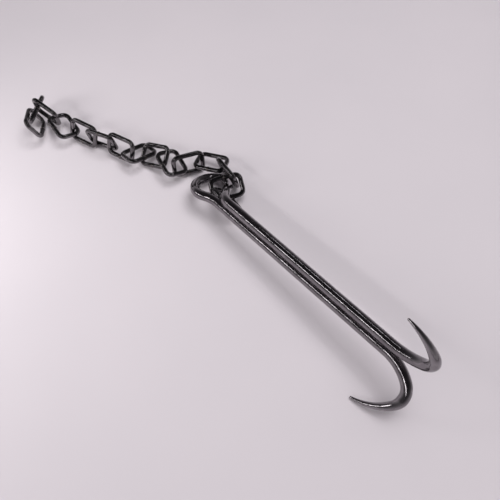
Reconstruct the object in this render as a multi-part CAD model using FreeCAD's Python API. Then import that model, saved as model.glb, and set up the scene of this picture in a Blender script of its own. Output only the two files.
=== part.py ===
"""Twin-prong meat hook on a length of square-link chain, laid out on a flat surface.

Units are millimetres, +Z is up and the surface is Z = 0.  The hook is one round rod: its middle is bent
into an eye, its two halves run back together as a pair of stacked shanks, and each ends in a pointed prong.
"""

import FreeCAD, Part
import math
import os

Vector = FreeCAD.Vector

# ---- hook rod ----
ROD_DIAMETER = 10.0
SHANK_GAP = 0.3              # air between the two shanks, which lie one above the other
LOWER_SHANK_LENGTH = 221.0   # from the root of the lower prong to the eye
UPPER_SHANK_LENGTH = 205.0   # from the root of the upper prong to the eye

# ---- prongs: three arcs in one plane, each given as (centreline radius, turn in degrees) ----
PRONG_ARCS = [(44.8, 39.3), (16.4, 85.9), (50.6, 40.4)]
PRONG_TAPER_START = 0.5      # share of the prong's length that keeps the full rod diameter
PRONG_TIP_RADIUS = 1.1
PRONG_TAPER_STATIONS = 10
LOWER_PRONG_SPLAY = -147.5   # turn of the prong's plane about the shank, from the side the upper shank is on
UPPER_PRONG_SPLAY = -17.5

# ---- eye: corners of the rod's route, in the hook's own frame, from the lower shank to the upper ----
EYE_ROUTE = [
    (-237.0, -8.0, -2.0),
    (-255.5, 5.5, -7.0),
    (-255.0, 27.5, -7.5),
    (-243.5, 35.5, -5.0),
    (-229.0, 30.5, -2.5),
    (-216.0, 12.0, 6.0),
]
EYE_ROUNDING = 0.48          # share of the shorter run that each corner's arc may take

# ---- how the hook lies: root of the lower prong, slope of the shanks and roll about them ----
HOOK_POINT = Vector(-4.4, 39.7, 34.5)
SHANK_SLOPE = 3.0
HOOK_ROLL = -17.3


def unit(vector):
    """Copy of a vector at length one."""
    return FreeCAD.Vector(vector).normalize()


def straight(start, end):
    """Straight edge between two points."""
    return Part.LineSegment(start, end).toShape()


def corner_arc(before, corner, after, reach):
    """Arc that rounds a corner, tangent to both runs at a distance of reach from the corner."""
    incoming = unit(before - corner)
    outgoing = unit(after - corner)
    start = corner + incoming * reach
    end = corner + outgoing * reach
    bisector = unit(incoming + outgoing)
    half_angle = incoming.getAngle(outgoing) / 2
    radius = reach * math.tan(half_angle)
    middle = corner + bisector * (radius / math.sin(half_angle) - radius)
    return start, Part.Arc(start, middle, end).toShape(), end


def rounded_route(points, rounding):
    """Edges of straight runs joined by tangent arcs, through a list of corners."""
    edges = []
    position = points[0]
    for before, corner, after in zip(points, points[1:], points[2:]):
        reach = rounding * min((before - corner).Length, (after - corner).Length)
        start, arc, end = corner_arc(before, corner, after, reach)
        edges.append(straight(position, start))
        edges.append(arc)
        position = end
    edges.append(straight(position, points[-1]))
    return edges


def circle_wire(centre, normal, radius):
    """Round section for a sweep or a loft."""
    return Part.Wire(Part.Circle(centre, normal, radius).toShape())


def swept_rod(edges, radius):
    """Solid round rod along a chain of tangent edges."""
    path = Part.Wire(edges)
    start = edges[0].valueAt(edges[0].FirstParameter)
    heading = edges[0].tangentAt(edges[0].FirstParameter)
    return path.makePipeShell([circle_wire(start, heading, radius)], True, False)


def prong_point(distance):
    """Point and heading on the prong's flat curve, at a distance along it from its root."""
    x, y, angle = 0.0, 0.0, 0.0
    for radius, turn in PRONG_ARCS:
        length = radius * math.radians(turn)
        step = min(distance, length) / radius
        x += radius * (math.sin(angle + step) - math.sin(angle))
        y += radius * (math.cos(angle) - math.cos(angle + step))
        angle += step
        distance -= min(distance, length)
    return Vector(x, 0, y), Vector(math.cos(angle), 0, math.sin(angle))


def prong_length():
    """Length of the prong's centreline."""
    return sum(radius * math.radians(turn) for radius, turn in PRONG_ARCS)


def prong_edges(end_distance):
    """Arcs of the prong's centreline, from its root up to a distance along it."""
    edges = []
    travelled = 0.0
    for radius, turn in PRONG_ARCS:
        length = min(radius * math.radians(turn), end_distance - travelled)
        if length > 0.01:
            marks = [prong_point(travelled + length * share)[0] for share in (0.0, 0.5, 1.0)]
            edges.append(Part.Arc(*marks).toShape())
        travelled += length
    return edges


def prong():
    """Prong at the origin, leaving along +X and curling back above it towards +Z."""
    total = prong_length()
    taper_start = PRONG_TAPER_START * total
    body = swept_rod(prong_edges(taper_start), ROD_DIAMETER / 2)
    sections = []
    for index in range(PRONG_TAPER_STATIONS + 1):
        share = index / PRONG_TAPER_STATIONS
        centre, heading = prong_point(taper_start + share * (total - taper_start))
        radius = ROD_DIAMETER / 2 + share * (PRONG_TIP_RADIUS - ROD_DIAMETER / 2)
        sections.append(circle_wire(centre, heading, radius))
    taper = Part.makeLoft(sections, True, False)
    tip = Part.makeSphere(PRONG_TIP_RADIUS, prong_point(total)[0])
    return body.fuse([taper, tip]).removeSplitter()


def hook_rod():
    """The whole rod in its own frame: lower shank along X, upper shank above it, eye at the far end."""
    rise = ROD_DIAMETER + SHANK_GAP
    corners = [Vector(0, 0, 0), Vector(-LOWER_SHANK_LENGTH, 0, 0)]
    corners += [Vector(*corner) for corner in EYE_ROUTE]
    corners += [Vector(-UPPER_SHANK_LENGTH, 0, rise), Vector(0, 0, rise)]
    rod = swept_rod(rounded_route(corners, EYE_ROUNDING), ROD_DIAMETER / 2)
    lower = prong()
    lower.rotate(Vector(0, 0, 0), Vector(1, 0, 0), -LOWER_PRONG_SPLAY)
    upper = prong()
    upper.rotate(Vector(0, 0, 0), Vector(1, 0, 0), -UPPER_PRONG_SPLAY)
    upper.translate(Vector(0, 0, rise))
    return rod.fuse([lower, upper])


# ---- chain: every link is a rounded rectangle of round wire, welded shut ----
WIRE_DIAMETER = 5.0
LINK_LENGTH = 37.0           # over the wire
LINK_WIDTH = 27.0            # over the wire
LINK_CORNER = 6.0            # corner radius of the wire's centreline
WELD_HEIGHT = 0.2            # how far the weld stands out of the wire
WELD_LENGTH = 3.0

# ---- how the chain lies: first the link in the eye, by its centre, heading, slope and lean ----
FIRST_LINK_CENTRE = Vector(-231.4, 64.4, 13.0)
FIRST_LINK = (59, 9, 28)

# Each further link, outwards from the hook: heading, slope and lean in degrees, then the slack between the
# two end bars, and how far the contact sits off the middle of the last link's bar and of this link's bar.
CHAIN = [
    (170, -4, -104, 0.6, 2.6, -0.6),
    (209, -5, 8, 1.1, 1.0, 1.0),
    (249, 4, -77, 1.0, 0.9, -1.4),
    (166, 3, 13, 0.8, 4.7, -1.1),
    (201, -15, -32, 1.5, -0.2, 6.3),
    (270, 14, 9, 1.4, -8.6, 2.3),
    (197, -2, -64, 2.1, 0.3, -5.4),
    (203, -2, 81, 1.5, -0.5, 0.0),
    (198, 2, -66, 2.0, -2.1, -1.3),
    (174, 6, 14, 0.8, 5.3, 5.1),
    (194, 14, -96, 0.6, 1.6, -2.0),
    (298, -17, 50, 5.2, 0.7, -2.9),
    (327, 13, -63, 8.0, -1.9, 0.3),
]
# The spare link hangs on the other end bar of the first link.
SPARE_LINK = (-8, 0, 132, 0.6, 0.2, -5.1)


def link_frame(heading, slope, lean):
    """Directions of a link's length and of its end bars."""
    heading, slope, lean = (math.radians(angle) for angle in (heading, slope, lean))
    flat = math.cos(slope)
    along = Vector(math.cos(heading) * flat, math.sin(heading) * flat, math.sin(slope))
    level = unit(Vector(0, 0, 1).cross(along))
    return along, level * math.cos(lean) + along.cross(level) * math.sin(lean)


def chain_link(centre, along, across):
    """Closed link: four straight sides and four corner arcs of round wire, with a weld on one side."""
    half_length = (LINK_LENGTH - WIRE_DIAMETER) / 2
    half_width = (LINK_WIDTH - WIRE_DIAMETER) / 2
    corners = [centre + along * (half_length * x) + across * (half_width * y)
               for x, y in ((1, 1), (-1, 1), (-1, -1), (1, -1))]
    edges = []
    for index, corner in enumerate(corners):
        before = corners[index - 1]
        after = corners[(index + 1) % 4]
        start, arc, end = corner_arc(before, corner, after, LINK_CORNER)
        leave = after + unit(corner - after) * LINK_CORNER
        edges += [arc, straight(end, leave)]
    return swept_rod(edges, WIRE_DIAMETER / 2)


def weld_bead(centre, along, across):
    """Low ring of weld metal round the middle of one long side."""
    middle = centre + across * ((LINK_WIDTH - WIRE_DIAMETER) / 2)
    start = middle - along * (WELD_LENGTH / 2)
    return Part.makeCylinder(WIRE_DIAMETER / 2 + WELD_HEIGHT, WELD_LENGTH, start, along)


def next_centre(last, end, pose):
    """Centre of a link that is hooked through one end bar of the last link (end is +1 or -1)."""
    centre, last_along, last_across = last
    heading, slope, lean, slack, last_offset, own_offset = pose
    along, across = link_frame(heading, slope, lean)
    half_length = (LINK_LENGTH - WIRE_DIAMETER) / 2
    outward = last_along * end
    stack = unit(last_across.cross(across))
    if stack.dot(outward + along) < 0:
        stack = stack * -1
    contact = centre + outward * half_length - stack * (WIRE_DIAMETER + slack)
    bar = contact + last_across * last_offset + across * own_offset
    return bar + along * half_length, along, across


def chain_placements():
    """Centre, length direction and bar direction of every link, by node name."""
    placements = {"chain_link_01": (FIRST_LINK_CENTRE,) + link_frame(*FIRST_LINK)}
    last = placements["chain_link_01"]
    placements["spare_link"] = next_centre(last, -1, SPARE_LINK)
    for number, pose in enumerate(CHAIN, 2):
        last = next_centre(last, 1, pose)
        placements[f"chain_link_{number:02d}"] = last
    return placements


def assembly():
    """Every node's solid, where it lies."""
    rod = hook_rod()
    rod.rotate(Vector(0, 0, 0), Vector(1, 0, 0), HOOK_ROLL)
    rod.rotate(Vector(0, 0, 0), Vector(0, 1, 0), -SHANK_SLOPE)
    rod.translate(HOOK_POINT)
    nodes = {"hook_rod": rod}
    for name, placement in chain_placements().items():
        nodes[name] = chain_link(*placement).fuse(weld_bead(*placement))
    return nodes


def base_centre(shapes):
    """Bottom centre of the box round all the solids."""
    box = Part.makeCompound(shapes).BoundBox
    return Vector(box.Center.x, box.Center.y, box.ZMin)


def main():
    os.makedirs("parts", exist_ok=True)
    nodes = assembly()
    origin = base_centre(list(nodes.values()))
    for name, shape in nodes.items():
        shape.translate(origin * -1)
        shape.exportStep(f"parts/{name}.step")
        print(name, round(shape.Volume, 1), len(shape.Solids), shape.isValid())


if __name__ == "__main__":
    main()
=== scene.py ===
import bpy
import math
import numpy as np
from mathutils import Matrix, Vector


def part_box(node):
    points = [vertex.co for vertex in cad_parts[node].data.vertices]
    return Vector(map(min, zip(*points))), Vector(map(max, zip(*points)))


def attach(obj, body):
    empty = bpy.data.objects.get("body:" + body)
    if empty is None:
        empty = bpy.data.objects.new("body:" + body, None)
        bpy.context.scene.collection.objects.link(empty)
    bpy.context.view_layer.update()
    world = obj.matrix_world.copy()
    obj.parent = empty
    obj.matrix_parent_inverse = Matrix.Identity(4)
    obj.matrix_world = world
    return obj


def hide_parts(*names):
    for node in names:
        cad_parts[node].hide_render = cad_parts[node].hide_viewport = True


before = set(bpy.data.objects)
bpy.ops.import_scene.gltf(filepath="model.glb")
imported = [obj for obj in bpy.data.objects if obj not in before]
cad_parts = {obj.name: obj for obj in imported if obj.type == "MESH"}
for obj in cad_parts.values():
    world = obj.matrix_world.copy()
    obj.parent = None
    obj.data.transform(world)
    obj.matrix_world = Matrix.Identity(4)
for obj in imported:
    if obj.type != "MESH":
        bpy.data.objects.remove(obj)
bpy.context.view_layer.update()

MM = 0.001
ROD_RADIUS = 5.0
WIRE_RADIUS = 2.5
LINK_HALF_LENGTH = 16.0
LINK_HALF_WIDTH = 11.0
LINK_CORNER = 6.0
WELD_HALF_LENGTH = 1.15
WELD_SWELL = 0.10            # share by which the weld stands out of the wire
CLEAR_OF_WELD = 6.0          # distance from a link's middle beyond which there is no weld
CONTACT_REACH = 1.2          # how far the bright rubbed patch reaches in from an end bar

# The rod's route in the hook's own frame, in millimetres: the same corners and arcs as the CAD part.
LOWER_SHANK = 221.0
UPPER_SHANK = 205.0
SHANK_RISE = 10.3
EYE_ROUTE = [(-237.0, -8.0, -2.0), (-255.5, 5.5, -7.0), (-255.0, 27.5, -7.5),
             (-243.5, 35.5, -5.0), (-229.0, 30.5, -2.5), (-216.0, 12.0, 6.0)]
EYE_ROUNDING = 0.48
PRONG_ARCS = [(44.8, 39.3), (16.4, 85.9), (50.6, 40.4)]
PRONG_TAPER_START = 0.5
PRONG_TIP_RADIUS = 1.1
LOWER_SPLAY = -147.5
UPPER_SPLAY = -17.5
SHANK_SLOPE = 3.0
HOOK_ROLL = -17.3

# How fine the meshes are, and the seeds of the hand-made variation.
ROUTE_STEP = 1.2
PRONG_STEP = 0.9
WIRE_STEP = 0.45
ROD_SIDES = 40
WIRE_SIDES = 24
CAP_RINGS = 6
CAP_END_ANGLE = 88
UV_PER_METRE = 100
ROD_SEED = 4
FIRST_LINK_SEED = 20

# Wear on a prong: where it starts along the prong's length, and how fast it grows towards the tip.
WEAR_START = 0.45
WEAR_RISE = 2.2

WELD_BROWN = (0.10, 0.085, 0.075)

FLOOR_SIZE = 6.0
CAMERA_PLACE = (0.2317, -0.1504, 0.4245)
CAMERA_TILT = 29.73
CAMERA_HEADING = 47.15


def rounded_points(corners, rounding, step, closed=False, fixed_reach=None):
    """Evenly fine points along straight runs joined by tangent arcs."""
    corners = [Vector(c) for c in corners]
    count = len(corners)
    points = [] if closed else [corners[0]]
    order = range(count) if closed else range(1, count - 1)
    for i in order:
        before, corner, after = corners[i - 1], corners[i], corners[(i + 1) % count]
        a = before - corner
        b = after - corner
        reach = fixed_reach or rounding * min(a.length, b.length)
        a.normalize()
        b.normalize()
        half = a.angle(b) / 2
        radius = reach * math.tan(half)
        centre = corner + (a + b).normalized() * (radius / math.sin(half))
        first = corner + a * reach - centre
        last = corner + b * reach - centre
        turn = math.pi - 2 * half
        steps = max(4, int(radius * turn / step))
        for k in range(steps + 1):
            t = k / steps
            mix = first * math.sin((1 - t) * turn) + last * math.sin(t * turn)
            points.append(centre + mix / math.sin(turn))
    if not closed:
        points.append(corners[-1])
    return refine(points, step, closed)


def refine(points, step, closed):
    """Fills long runs with points."""
    out = []
    pairs = list(zip(points, points[1:] + points[:1] if closed else points[1:]))
    for p, q in pairs:
        n = max(1, round((q - p).length / step))
        for k in range(n):
            out.append(p.lerp(q, k / n))
    if not closed:
        out.append(points[-1])
    return out


def prong_points(splay, rise, step):
    """Prong centreline from root to tip in the hook's frame, with the distance along it."""
    total = sum(r * math.radians(a) for r, a in PRONG_ARCS)
    spin = Matrix.Rotation(math.radians(-splay), 3, "X")
    n = int(total / step)
    out = []
    for k in range(n + 1):
        distance = total * k / n
        travelled = distance
        x = z = angle = 0.0
        for radius, turn in PRONG_ARCS:
            length = radius * math.radians(turn)
            part = min(travelled, length) / radius
            x += radius * (math.sin(angle + part) - math.sin(angle))
            z += radius * (math.cos(angle) - math.cos(angle + part))
            angle += part
            travelled -= min(travelled, length)
        out.append((spin @ Vector((x, 0, z)) + Vector((0, 0, rise)), distance / total))
    return out


def prong_radius(share):
    """Full rod to half way along the prong, then a straight taper."""
    t = max(0.0, (share - PRONG_TAPER_START) / (1 - PRONG_TAPER_START))
    return ROD_RADIUS + t * (PRONG_TIP_RADIUS - ROD_RADIUS)


def smooth_wave(position, seed):
    """Slow, irregular wobble between -1 and 1 for hand-made variation."""
    rng = np.random.default_rng(seed)
    value = 0.0
    for scale in (0.11, 0.23, 0.41, 0.83):
        value += math.sin(position * scale + rng.uniform(0, 6.28)) * rng.uniform(0.4, 1.0)
    return value / 2.6


def tangents_along(points, closed):
    """Heading of a line of points at every point."""
    n = len(points)
    tangents = []
    for i in range(n):
        if closed:
            t = points[(i + 1) % n] - points[i - 1]
        else:
            t = points[min(i + 1, n - 1)] - points[max(i - 1, 0)]
        tangents.append(t.normalized())
    return tangents


def tube_rings(points, radii, sides, tangents, lumps):
    """Vertices of a round tube, ring by ring, without twist from one ring to the next."""
    side = tangents[0].orthogonal().normalized()
    verts = []
    for i, point in enumerate(points):
        if i:
            turn = tangents[i - 1].rotation_difference(tangents[i])
            side = turn @ side
        side = (side - tangents[i] * side.dot(tangents[i])).normalized()
        other = tangents[i].cross(side)
        for k in range(sides):
            angle = 2 * math.pi * k / sides
            radius = radii[i]
            if lumps:
                radius *= lumps(i, angle)
            verts.append(point + (side * math.cos(angle) + other * math.sin(angle)) * radius)
    return verts


def tube_faces(points, sides, closed):
    """Faces between the rings and over open ends, with (distance along, share of a turn) at each corner."""
    n = len(points)
    along = [0.0]
    for i in range(1, n):
        along.append(along[-1] + (points[i] - points[i - 1]).length)
    total = along[-1] + ((points[0] - points[-1]).length if closed else 0.0)
    faces, uvs = [], []
    for i in range(n if closed else n - 1):
        j = (i + 1) % n
        u0, u1 = along[i], along[i + 1] if i + 1 < n else total
        for k in range(sides):
            m = (k + 1) % sides
            faces.append((i * sides + k, i * sides + m, j * sides + m, j * sides + k))
            v0, v1 = k / sides, (k + 1) / sides
            uvs += [(u0, v0), (u0, v1), (u1, v1), (u1, v0)]
    if not closed:
        for row, flip in ((0, True), (n - 1, False)):
            ring = [row * sides + k for k in range(sides)]
            faces.append(tuple(reversed(ring)) if flip else tuple(ring))
            uvs += [(along[row], k / sides) for k in range(sides)]
    return faces, uvs


def tube(name, points, radii, sides, closed=False, lumps=None):
    """Round tube along points (in metres), with a UV map: u runs along it, v runs round it."""
    verts = tube_rings(points, radii, sides, tangents_along(points, closed), lumps)
    faces, uvs = tube_faces(points, sides, closed)
    mesh = bpy.data.meshes.new(name)
    mesh.from_pydata([tuple(v) for v in verts], [], faces)
    layer = mesh.uv_layers.new(name="along")
    layer.data.foreach_set("uv", np.array([(u * UV_PER_METRE, v) for u, v in uvs], dtype=np.float32).ravel())
    mesh.shade_smooth()
    mesh.update()
    obj = bpy.data.objects.new(name, mesh)
    bpy.context.scene.collection.objects.link(obj)
    return obj


def paint(obj, name, values):
    """Stores one number per vertex as a named attribute for the material."""
    attribute = obj.data.attributes.new(name, "FLOAT", "POINT")
    attribute.data.foreach_set("value", np.array(values, dtype=np.float32))


def hook_rod():
    """The whole rod, tip to tip, lined up on the CAD node's box."""
    route = rounded_points([(0, 0, 0), (-LOWER_SHANK, 0, 0)] + EYE_ROUTE
                           + [(-UPPER_SHANK, 0, SHANK_RISE), (0, 0, SHANK_RISE)], EYE_ROUNDING, ROUTE_STEP)
    lower = prong_points(LOWER_SPLAY, 0.0, PRONG_STEP)
    upper = prong_points(UPPER_SPLAY, SHANK_RISE, PRONG_STEP)
    points, radii, shares = [], [], []
    for centre, share in reversed(lower):
        points.append(centre)
        radii.append(prong_radius(share))
        shares.append(share)
    for centre in route[1:-1]:
        points.append(centre)
        radii.append(ROD_RADIUS)
        shares.append(0.0)
    for centre, share in upper:
        points.append(centre)
        radii.append(prong_radius(share))
        shares.append(share)
    points, radii, shares = round_off(points, radii, shares)
    wobble = [0.994 + 0.006 * smooth_wave(i * 1.0, ROD_SEED) for i in range(len(points))]
    slope = Matrix.Rotation(math.radians(-SHANK_SLOPE), 3, "Y")
    roll = Matrix.Rotation(math.radians(HOOK_ROLL), 3, "X")
    points = [slope @ roll @ p * MM for p in points]
    obj = tube("hook_rod_steel", points, [r * MM * w for r, w in zip(radii, wobble)], ROD_SIDES)
    low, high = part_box("hook_rod")
    corners = np.array([v.co[:] for v in obj.data.vertices])
    shift = (np.array(low) + np.array(high)) / 2 - (corners.min(0) + corners.max(0)) / 2
    obj.data.transform(Matrix.Translation(Vector(shift)))
    wear = []
    for share in shares:
        wear += [min(1.0, max(0.0, (share - WEAR_START) * WEAR_RISE))] * ROD_SIDES
    paint(obj, "wear", wear)
    return obj


def round_off(points, radii, shares):
    """Closes both ends with a half ball the size of the tip."""
    for end in (0, -1):
        centre = points[end]
        inner = points[1] if end == 0 else points[-2]
        out = (centre - inner).normalized()
        cap = []
        for k in range(1, CAP_RINGS + 1):
            angle = math.radians(CAP_END_ANGLE * k / CAP_RINGS)
            ring_centre = centre + out * PRONG_TIP_RADIUS * math.sin(angle)
            cap.append((ring_centre, PRONG_TIP_RADIUS * math.cos(angle)))
        if end == 0:
            points = [c for c, r in reversed(cap)] + points
            radii = [r for c, r in reversed(cap)] + radii
            shares = [1.0] * CAP_RINGS + shares
        else:
            points = points + [c for c, r in cap]
            radii = radii + [r for c, r in cap]
            shares = shares + [1.0] * CAP_RINGS
    return points, radii, shares


def link_axes(node):
    """Centre, length, bar and normal directions of a chain link, from its CAD node's mesh."""
    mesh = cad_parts[node].data
    co = np.array([v.co[:] for v in mesh.vertices])
    mesh.calc_loop_triangles()
    tri = np.array([t.vertices[:] for t in mesh.loop_triangles])
    corners = co[tri]
    area = np.linalg.norm(np.cross(corners[:, 1] - corners[:, 0], corners[:, 2] - corners[:, 0]), axis=1)
    middle = corners.mean(1)
    mean = (middle * area[:, None]).sum(0) / area.sum()
    spread = ((middle - mean) * area[:, None]).T @ (middle - mean)
    values, vectors = np.linalg.eigh(spread)
    along, across = vectors[:, 2], vectors[:, 1]
    local = (co - mean) @ np.column_stack([along, across])
    ends = local[np.abs(local[:, 0]) > CLEAR_OF_WELD * MM]
    centre = mean + along * (local[:, 0].max() + local[:, 0].min()) / 2
    centre = centre + across * (ends[:, 1].max() + ends[:, 1].min()) / 2
    reach = (co - centre) @ across
    if reach.max() < -reach.min():
        across = -across
    along, across = Vector(along), Vector(across)
    return Vector(centre), along, across, along.cross(across)


def chain_link(node, seed):
    """One link: round wire bent to a rounded rectangle and butt-welded on one long side."""
    centre, along, across, normal = link_axes(node)
    outline = [(LINK_HALF_LENGTH, LINK_HALF_WIDTH, 0), (-LINK_HALF_LENGTH, LINK_HALF_WIDTH, 0),
               (-LINK_HALF_LENGTH, -LINK_HALF_WIDTH, 0), (LINK_HALF_LENGTH, -LINK_HALF_WIDTH, 0)]
    path = rounded_points(outline, 0, WIRE_STEP, closed=True, fixed_reach=LINK_CORNER)
    rng = np.random.default_rng(seed)
    phase = rng.uniform(0, 6.28)
    offset = rng.uniform(-0.5, 0.5)
    weld, contact, radii = [], [], []
    for i, p in enumerate(path):
        beside = abs(p.x - offset) if p.y > LINK_HALF_WIDTH - 0.5 else 99.0
        bead = math.exp(-(beside / WELD_HALF_LENGTH) ** 4)
        weld.append(bead)
        contact.append(max(0.0, min(1.0, (abs(p.x) - LINK_HALF_LENGTH + CONTACT_REACH) / CONTACT_REACH)))
        radii.append(WIRE_RADIUS * (0.995 + 0.006 * smooth_wave(i * 2.0, seed)) * MM)

    def lumps(i, angle):
        round_it = 0.03 * math.sin(3 * angle + phase)
        along_it = 0.025 * math.sin(path[i].x * 5.5 + 2 * math.sin(angle + phase))
        ripple = round_it + along_it
        return 1 + weld[i] * (WELD_SWELL + ripple)

    place = Matrix.Translation(centre) @ Matrix((along, across, normal)).transposed().to_4x4()
    obj = tube(node + "_steel", [place @ (p * MM) for p in path], radii, WIRE_SIDES, closed=True, lumps=lumps)
    paint(obj, "weld", [w for w in weld for k in range(WIRE_SIDES)])
    paint(obj, "wear", [c for c in contact for k in range(WIRE_SIDES)])
    return obj


def node(tree, kind, **inputs):
    """Adds a shader node and sets its plain input values."""
    made = tree.nodes.new(kind)
    for name, value in inputs.items():
        made.inputs[name.replace("_", " ")].default_value = value
    return made


def ramp(tree, source, stops):
    """Colour ramp from a list of (position, grey or colour)."""
    made = tree.nodes.new("ShaderNodeValToRGB")
    elements = made.color_ramp.elements
    for index, (position, colour) in enumerate(stops):
        element = elements[index] if index < 2 else elements.new(position)
        element.position = position
        value = colour if isinstance(colour, tuple) else (colour, colour, colour)
        element.color = value + (1.0,)
    tree.links.new(source, made.inputs[0])
    return made.outputs[0]


def maths(tree, operation, a, b):
    """Two-value sum, product and the like, where a and b are sockets or numbers."""
    made = tree.nodes.new("ShaderNodeMath")
    made.operation = operation
    for socket, value in zip(made.inputs, (a, b)):
        if isinstance(value, (int, float)):
            socket.default_value = value
        else:
            tree.links.new(value, socket)
    return made.outputs[0]


def noise(tree, vector, **inputs):
    """Noise texture read at a vector."""
    made = node(tree, "ShaderNodeTexNoise", **inputs)
    tree.links.new(vector, made.inputs["Vector"])
    return made.outputs[0]


def steel_patterns(tree):
    """Patterns shared by colour, gloss and bumps: drawn lines, oxide patches, scuffs, pits and wear."""
    place = tree.nodes.new("ShaderNodeTexCoord").outputs["Object"]
    uv = tree.nodes.new("ShaderNodeUVMap")
    uv.uv_map = "along"
    stretch = tree.nodes.new("ShaderNodeMapping")
    stretch.inputs["Scale"].default_value = (0.35, 26.0, 1.0)
    tree.links.new(uv.outputs[0], stretch.inputs[0])
    lines = noise(tree, stretch.outputs[0], Scale=3.0, Detail=6.0, Roughness=0.6)
    patches = noise(tree, place, Scale=70.0, Detail=5.0, Roughness=0.62, Distortion=0.6)
    grain = noise(tree, place, Scale=900.0, Detail=4.0, Roughness=0.55)
    scuffs = noise(tree, place, Scale=240.0, Detail=8.0, Roughness=0.75, Distortion=2.2)
    pits = node(tree, "ShaderNodeTexVoronoi", Scale=420.0)
    tree.links.new(place, pits.inputs["Vector"])
    return {
        "lines": lines,
        "patches": patches,
        "grain": grain,
        "polish": ramp(tree, patches, [(0.36, 0.0), (0.66, 1.0)]),
        "scuff": ramp(tree, scuffs, [(0.56, 0.0), (0.74, 1.0)]),
        "streak": ramp(tree, lines, [(0.38, 0.0), (0.7, 1.0)]),
        "pit": ramp(tree, pits.outputs["Distance"], [(0.0, 0.0), (0.12, 1.0)]),
        "wear": painted(tree, "wear"),
        "weld": painted(tree, "weld"),
    }


def painted(tree, name):
    """Value of a named attribute that paint() stored on the mesh."""
    made = tree.nodes.new("ShaderNodeAttribute")
    made.attribute_name = name
    return made.outputs["Fac"]


def blend(tree, factor, first, second):
    """Mix of two colours, where first is a colour or a socket."""
    made = tree.nodes.new("ShaderNodeMix")
    made.data_type = "RGBA"
    if isinstance(first, tuple):
        made.inputs["A"].default_value = first + (1.0,)
    else:
        tree.links.new(first, made.inputs["A"])
    made.inputs["B"].default_value = second + (1.0,)
    tree.links.new(factor, made.inputs["Factor"])
    return made.outputs["Result"]


def steel_colour(tree, pattern, dark, bright):
    """Dark oxide, bright where it is rubbed or worn, and brown with heat at a weld."""
    shine = maths(tree, "MULTIPLY", pattern["polish"], 0.55)
    shine = maths(tree, "ADD", shine, maths(tree, "MULTIPLY", pattern["streak"], 0.2))
    shine = maths(tree, "ADD", shine, maths(tree, "MULTIPLY", pattern["wear"], 0.45))
    shine = maths(tree, "MINIMUM", shine, 1.0)
    tone = blend(tree, shine, dark, bright)
    return blend(tree, maths(tree, "MULTIPLY", pattern["weld"], 0.7), tone, WELD_BROWN)


def steel_roughness(tree, pattern, rough):
    """Rougher in scuffs and on a weld, smoother where it is polished."""
    gloss = maths(tree, "MULTIPLY", pattern["scuff"], 0.16)
    gloss = maths(tree, "ADD", gloss, rough)
    gloss = maths(tree, "ADD", gloss, maths(tree, "MULTIPLY", pattern["grain"], 0.07))
    gloss = maths(tree, "SUBTRACT", gloss, maths(tree, "MULTIPLY", pattern["polish"], 0.05))
    return maths(tree, "ADD", gloss, maths(tree, "MULTIPLY", pattern["weld"], 0.2))


def steel_bumps(tree, pattern, scratch):
    """Low relief: lines along the bar, uneven patches, scuffs and pits."""
    height = maths(tree, "MULTIPLY", pattern["lines"], scratch)
    height = maths(tree, "ADD", height, maths(tree, "MULTIPLY", pattern["patches"], 0.9))
    height = maths(tree, "ADD", height, maths(tree, "MULTIPLY", pattern["scuff"], 0.12))
    height = maths(tree, "ADD", height, maths(tree, "MULTIPLY", pattern["pit"], 0.1))
    bump = node(tree, "ShaderNodeBump", Strength=0.22, Distance=0.0003)
    tree.links.new(height, bump.inputs["Height"])
    return bump.outputs[0]


def worn_steel(name, dark, bright, rough, scratch):
    """Dark worn steel with a thin film of oil."""
    material = bpy.data.materials.new(name)
    material.use_nodes = True
    tree = material.node_tree
    tree.nodes.clear()
    out = tree.nodes.new("ShaderNodeOutputMaterial")
    shader = tree.nodes.new("ShaderNodeBsdfPrincipled")
    shader.inputs["Metallic"].default_value = 1.0
    shader.inputs["Coat Weight"].default_value = 0.5
    shader.inputs["Coat Roughness"].default_value = 0.04
    pattern = steel_patterns(tree)
    tree.links.new(steel_colour(tree, pattern, dark, bright), shader.inputs["Base Color"])
    tree.links.new(steel_roughness(tree, pattern, rough), shader.inputs["Roughness"])
    tree.links.new(steel_bumps(tree, pattern, scratch), shader.inputs["Normal"])
    tree.links.new(shader.outputs[0], out.inputs[0])
    return material


def paper_floor():
    """Pale table top with the faintest mottling."""
    material = bpy.data.materials.new("pale_floor")
    material.use_nodes = True
    tree = material.node_tree
    shader = tree.nodes["Principled BSDF"]
    shader.inputs["Roughness"].default_value = 0.75
    shader.inputs["Specular IOR Level"].default_value = 0.2
    place = tree.nodes.new("ShaderNodeTexCoord")
    mottle = node(tree, "ShaderNodeTexNoise", Scale=4.0, Detail=3.0)
    tree.links.new(place.outputs["Object"], mottle.inputs["Vector"])
    colour = ramp(tree, mottle.outputs[0], [(0.3, (0.61, 0.57, 0.605)), (0.7, (0.64, 0.595, 0.63))])
    tree.links.new(colour, shader.inputs["Base Color"])
    return material


def area_light(name, place, target, size, power, colour, glossy=True, size_y=None):
    """Soft panel light aimed at a point."""
    data = bpy.data.lights.new(name, "AREA")
    data.energy = power
    data.color = colour
    data.size = size
    if size_y:
        data.shape = "RECTANGLE"
        data.size_y = size_y
    lamp = bpy.data.objects.new(name, data)
    lamp.location = place
    lamp.rotation_euler = (Vector(target) - Vector(place)).to_track_quat("-Z", "Y").to_euler()
    lamp.visible_glossy = glossy
    bpy.context.scene.collection.objects.link(lamp)
    return lamp


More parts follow.
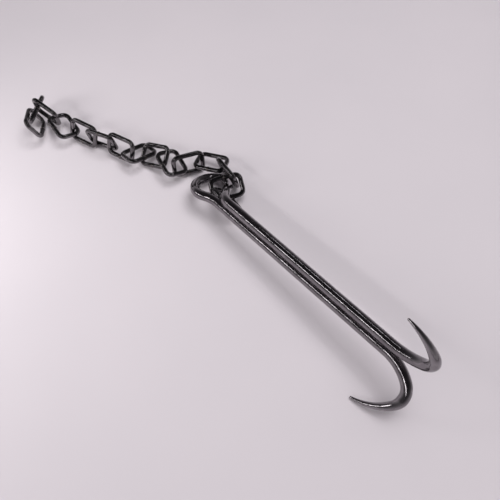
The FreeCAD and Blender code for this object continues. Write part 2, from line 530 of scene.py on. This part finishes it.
def studio_world():
    """Grey studio walls that fall off to a dark ceiling, by the height of the view direction."""
    world = bpy.data.worlds.new("studio")
    world.use_nodes = True
    tree = world.node_tree
    place = tree.nodes.new("ShaderNodeTexCoord")
    split = tree.nodes.new("ShaderNodeSeparateXYZ")
    tree.links.new(place.outputs["Generated"], split.inputs[0])
    tones = [(0.1, (0.50, 0.47, 0.49)), (0.4, (0.14, 0.132, 0.14)), (0.8, (0.04, 0.037, 0.04))]
    tone = ramp(tree, split.outputs["Z"], tones)
    tree.links.new(tone, tree.nodes["Background"].inputs[0])
    return world


# ---- the object ----
rod_steel = worn_steel("rod_steel", (0.15, 0.138, 0.148), (0.31, 0.29, 0.305), 0.06, 0.5)
chain_steel = worn_steel("chain_steel", (0.04, 0.036, 0.039), (0.20, 0.188, 0.196), 0.06, 0.6)

rod = hook_rod()
rod.data.materials.append(rod_steel)
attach(rod, "hook_rod")
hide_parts("hook_rod")

for index, name in enumerate(sorted(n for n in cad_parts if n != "hook_rod")):
    piece = chain_link(name, FIRST_LINK_SEED + index)
    piece.data.materials.append(chain_steel)
    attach(piece, name)
    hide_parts(name)

# ---- floor, light and camera ----
bpy.ops.mesh.primitive_plane_add(size=FLOOR_SIZE, location=(0, 0, 0))
floor = bpy.context.object
floor.name = "floor"
floor.data.materials.append(paper_floor())

bpy.context.scene.world = studio_world()

middle = (-0.02, 0.02, 0.0)
area_light("overhead", (0.3, 0.3, 1.6), middle, 1.6, 14.0, (1.0, 0.985, 0.99), glossy=False)
area_light("back_right", (0.16, 0.6, 1.8), middle, 1.1, 13.0, (1.0, 0.99, 0.995), glossy=False)
area_light("window_top", (0.0, 0.75, 1.7), (0.0, 0.0, 0.0), 1.6, 2.4, (1.0, 0.99, 1.0), size_y=0.12)
area_light("window_left", (-0.45, -1.05, 0.93), (-0.45, 0.02, 0.0), 2.2, 6.0, (1.0, 0.98, 0.98), size_y=0.11)
area_light("left_glow", (-0.24, -0.32, 0.2), (-0.14, -0.2, 0.0), 0.12, 0.55, (1.0, 0.98, 0.97), glossy=False)

camera = bpy.data.cameras.new("camera")
camera.lens = 35.0
camera.sensor_width = 36.0
camera.clip_start = 0.01
viewer = bpy.data.objects.new("camera", camera)
viewer.location = CAMERA_PLACE
viewer.rotation_euler = (math.radians(CAMERA_TILT), 0.0, math.radians(CAMERA_HEADING))
bpy.context.scene.collection.objects.link(viewer)
bpy.context.scene.camera = viewer
bpy.context.scene.view_settings.view_transform = "Standard"
